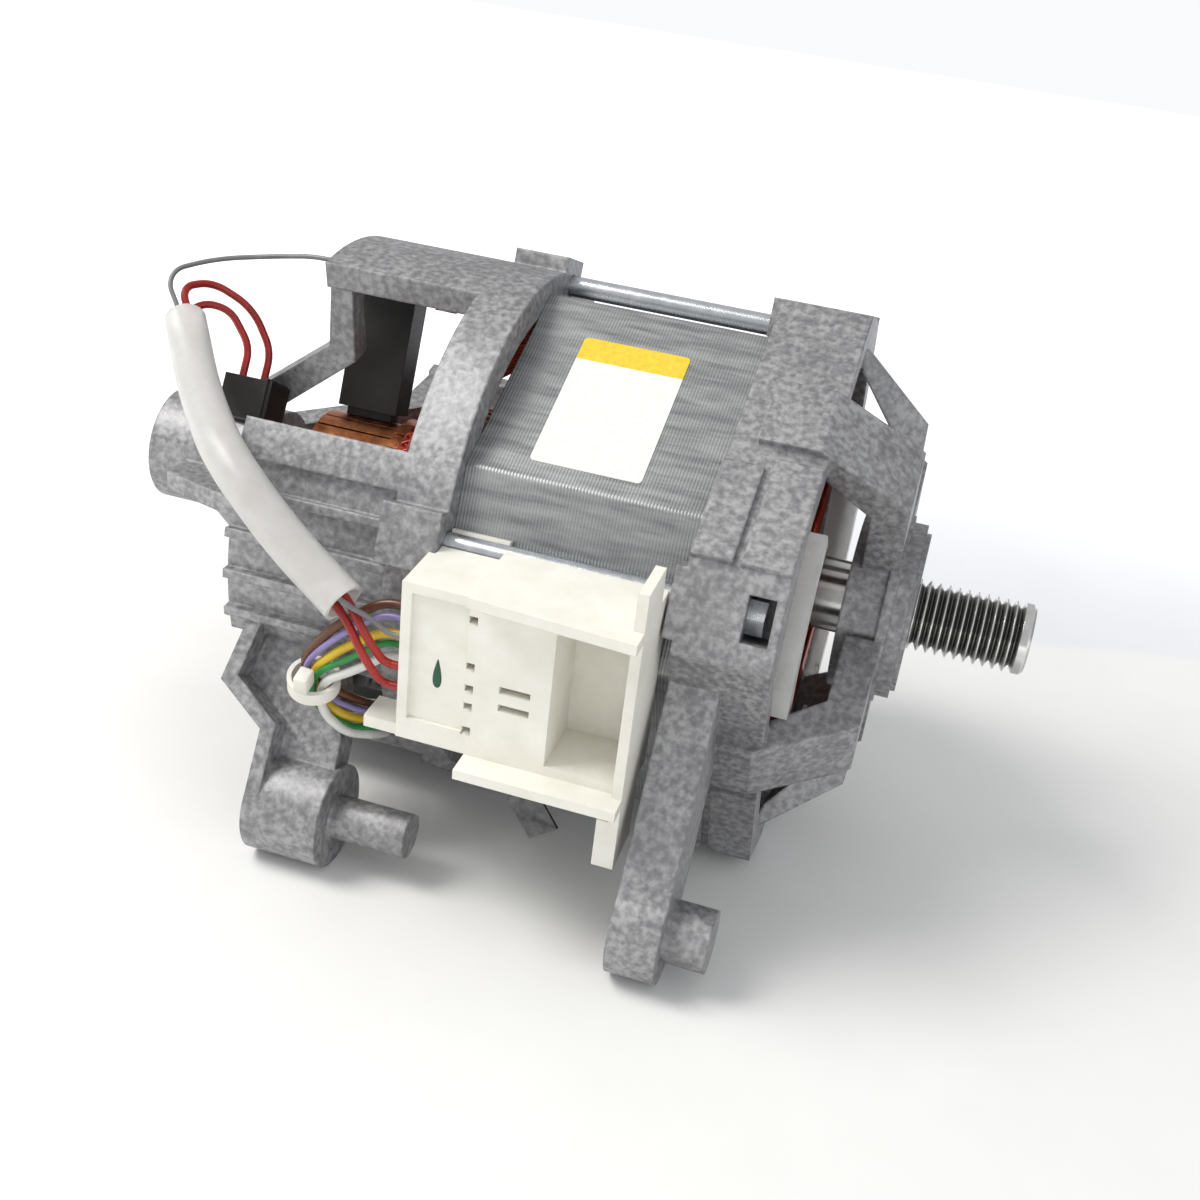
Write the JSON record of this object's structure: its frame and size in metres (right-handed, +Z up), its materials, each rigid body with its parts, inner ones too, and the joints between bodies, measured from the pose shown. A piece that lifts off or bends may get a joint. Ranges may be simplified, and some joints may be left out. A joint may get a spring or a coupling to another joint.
{
  "type": "washing machine motor",
  "caption": "Open-frame universal motor with a grooved pulley shaft, cast end brackets with mounting feet, carbon brushes, terminal block and speed sensor.",
  "frame": {"origin": "centre of the drive end hub front face, on the shaft axis", "axes": "+X along the shaft towards the drive end, +Z up as the motor rests on its feet, -Y the side with the terminal block and label"},
  "size_m": [0.2325, 0.1574, 0.1375],
  "materials": {
    "cast_aluminium": "speckled die casting",
    "lamination_steel": "stacked sheet edges",
    "enamelled_copper": "lacquered winding",
    "insulator_paper": "moulded insulator",
    "guard_plastic": "translucent moulding",
    "bar_copper": "turned copper",
    "hub_resin": "moulded resin",
    "shaft_steel": "ground steel",
    "bearing_steel": "polished",
    "zinc_plate": "zinc plated",
    "black_plastic": "moulded",
    "carbon": "pressed carbon",
    "magnet_ferrite": "sintered",
    "block_plastic": "moulded",
    "contact_brass": "stamped",
    "tinned_steel": "tinned",
    "label_paper": "printed blank",
    "sleeve_plastic": "translucent tube",
    "red_insulation": "extruded",
    "grey_insulation": "extruded",
    "brown_insulation": "extruded",
    "yellow_insulation": "extruded",
    "white_insulation": "extruded"
  },
  "bodies": {
    "motor_body": {"brown_lead": "brown_insulation", "brush_end_bracket": "cast_aluminium", "brush_holder_lower": "black_plastic", "brush_holder_upper": "black_plastic", "brush_screws_lower": "zinc_plate", "brush_screws_upper": "zinc_plate", "brush_spring_lower": "tinned_steel", "brush_spring_upper": "tinned_steel", "cable_sleeve": "sleeve_plastic", "cable_tie": "block_plastic", "coil_insulator_front": "insulator_paper", "coil_insulator_rear": "insulator_paper", "drive_end_bracket": "cast_aluminium", "earth_tab": "tinned_steel", "field_coil_lower": "enamelled_copper", "field_coil_upper": "enamelled_copper", "front_bearing_outer_race": "bearing_steel", "front_bearing_shields": "bearing_steel", "rating_label": "label_paper", "rear_bearing_outer_race": "bearing_steel", "rear_bearing_shields": "bearing_steel", "stator_core": "lamination_steel", "tacho_cap": "black_plastic", "tacho_coil": "black_plastic", "tacho_lead_lower": "red_insulation", "tacho_lead_upper": "red_insulation", "tacho_plug": "black_plastic", "terminal_block": "block_plastic", "terminal_contacts": "contact_brass", "thin_lead": "grey_insulation", "through_bolts": "zinc_plate", "wave_washer": "bearing_steel", "white_lead": "white_insulation", "winding_guard": "guard_plastic", "yellow_lead": "yellow_insulation"},
    "rotor": {"shaft": "shaft_steel", "armature_core": "lamination_steel", "armature_winding": "enamelled_copper", "commutator_bars": "bar_copper", "commutator_hub": "hub_resin", "front_bearing_inner_race": "bearing_steel", "front_bearing_balls": "bearing_steel", "rear_bearing_inner_race": "bearing_steel", "rear_bearing_balls": "bearing_steel", "tacho_magnet": "magnet_ferrite"},
    "brush_upper": {"carbon_brush_upper": "carbon"},
    "brush_lower": {"carbon_brush_lower": "carbon"}
  },
  "joints": [
    {"name": "rotor_spin", "type": "hinge", "parent": "motor_body", "child": "rotor", "pos_m": [0, 0, 0], "axis": [1, 0, 0], "continuous": true},
    {"name": "brush_upper_slide", "type": "slide", "parent": "motor_body", "child": "brush_upper", "axis": [0, 0.2588, 0.9659], "range_m": [0, 0.003], "stiffness_N_per_m": 300, "springref_m": -0.002, "deforming": ["brush_spring_upper"]},
    {"name": "brush_lower_slide", "type": "slide", "parent": "motor_body", "child": "brush_lower", "axis": [0, -0.2588, -0.9659], "range_m": [0, 0.003], "stiffness_N_per_m": 300, "springref_m": -0.002, "deforming": ["brush_spring_lower"]}
  ]
}
